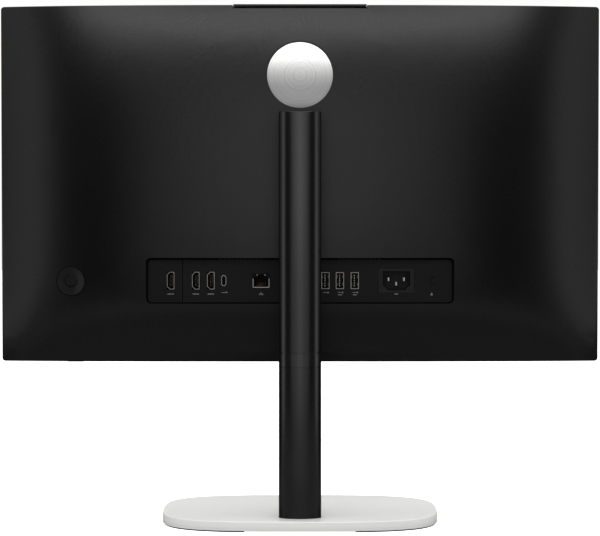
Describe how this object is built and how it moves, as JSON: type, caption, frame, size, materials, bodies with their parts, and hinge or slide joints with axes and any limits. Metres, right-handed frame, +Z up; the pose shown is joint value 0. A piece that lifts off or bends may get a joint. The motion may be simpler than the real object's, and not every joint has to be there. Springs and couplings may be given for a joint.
{
  "type": "all-in-one computer",
  "caption": "All-in-one desktop computer on a height-adjustable column stand with a flat silver base, seen from its port side.",
  "frame": {"origin": "centre of the base's footprint on the desk, with the head at the top of its lift and upright", "axes": "+Z up, screen faces -Y, ports and column face +Y, +X to the left as seen from behind"},
  "size_m": [0.54, 0.187, 0.4597],
  "materials": {
    "base_silver": "satin silver paint",
    "steel_plain": "plain rolled steel",
    "underside_black": "fine grained black plastic",
    "foot_rubber": "matt black rubber",
    "column_black": "satin black moulded plastic",
    "ring_gloss": "polished black plastic",
    "spring_steel": "blued spring steel",
    "slide_polymer": "natural acetal",
    "cast_black": "black powder-coated aluminium casting",
    "cover_black": "satin black moulded plastic with fine grain",
    "plate_black": "fine sparked black plastic",
    "port_metal": "nickel-plated shells",
    "port_insert": "black port mouldings",
    "pin_metal": "nickel-plated brass pins",
    "badge_silver": "polished silver disc",
    "dish_black": "satin black plastic",
    "glass_dark": "anti-glare screen face",
    "panel_dark": "LCD cell",
    "panel_white": "white diffuser stack",
    "chassis_zinc": "zinc-plated sheet steel",
    "board_green": "solder-masked board",
    "chip_dark": "chip package",
    "copper": "copper heat pipes",
    "fin_aluminium": "bare aluminium fins",
    "lens_glass": "dark lens"
  },
  "bodies": {
    "stand": {"base_shell": "base_silver", "base_weight": "steel_plain", "base_underside": "underside_black", "foot_strip_left": "foot_rubber", "foot_strip_right": "foot_rubber", "column_core": "steel_plain", "column_screws": "steel_plain", "lower_column_cover": "column_black", "upper_column_cover": "column_black", "column_ring": "ring_gloss", "column_cap": "column_black", "slide_rails": "slide_polymer", "spring_strip": "spring_steel"},
    "carriage": {"lift_carriage": "cast_black", "carriage_glides": "slide_polymer", "lift_spring": "spring_steel", "neck_arm": "cast_black", "neck_cover": "column_black"},
    "head": {"tilt_bracket": "chassis_zinc", "tilt_pin": "steel_plain", "friction_washers": "spring_steel", "bracket_screws": "steel_plain", "front_frame": "cover_black", "screen_glass": "glass_dark", "lcd_panel": "panel_dark", "backlight_unit": "panel_white", "chassis": "chassis_zinc", "rear_cover": "cover_black", "io_plate": "plate_black", "flex_port_plate": "plate_black", "video_ports": "port_metal", "usb_c_port": "port_metal", "network_port": "port_metal", "network_insert": "port_insert", "usb_a_ports": "port_metal", "port_tongues": "port_insert", "power_inlet": "port_insert", "inlet_pins": "pin_metal", "lock_slot_insert": "port_metal", "badge_disc": "badge_silver", "power_dish": "dish_black", "power_switch": "board_green", "bottom_pad": "foot_rubber", "main_board": "board_green", "board_screws": "steel_plain", "processor": "chip_dark", "heat_pipes": "copper", "fin_stack": "fin_aluminium", "blower_housing": "underside_black", "memory_modules": "board_green", "storage_drive": "chip_dark", "wireless_card": "chip_dark", "power_supply": "underside_black", "speaker_left": "underside_black", "speaker_right": "underside_black", "webcam_guide": "underside_black"},
    "webcam": {"webcam_module": "cover_black", "webcam_lens": "lens_glass"},
    "button": {"power_button": "dish_black"},
    "rotor": {"blower_rotor": "underside_black"}
  },
  "joints": [
    {"name": "height_slide", "type": "slide", "parent": "stand", "child": "carriage", "axis": [0, 0, 1], "range_m": [-0.1, 0]},
    {"name": "tilt_hinge", "type": "hinge", "parent": "carriage", "child": "head", "pos_m": [0, -0.002, 0.299], "axis": [-1, 0, 0], "range_deg": [-5, 20]},
    {"name": "webcam_slide", "type": "slide", "parent": "head", "child": "webcam", "axis": [0, 0, 1], "range_m": [0, 0.018]},
    {"name": "power_press", "type": "slide", "parent": "head", "child": "button", "axis": [-0.2157, -0.9747, 0.0594], "range_m": [0, 0.0015], "stiffness_N_per_m": 600, "springref_m": -0.0005},
    {"name": "blower_spin", "type": "hinge", "parent": "head", "child": "rotor", "pos_m": [0.13, -0.0236, 0.382], "axis": [0, 1, 0], "continuous": true}
  ]
}
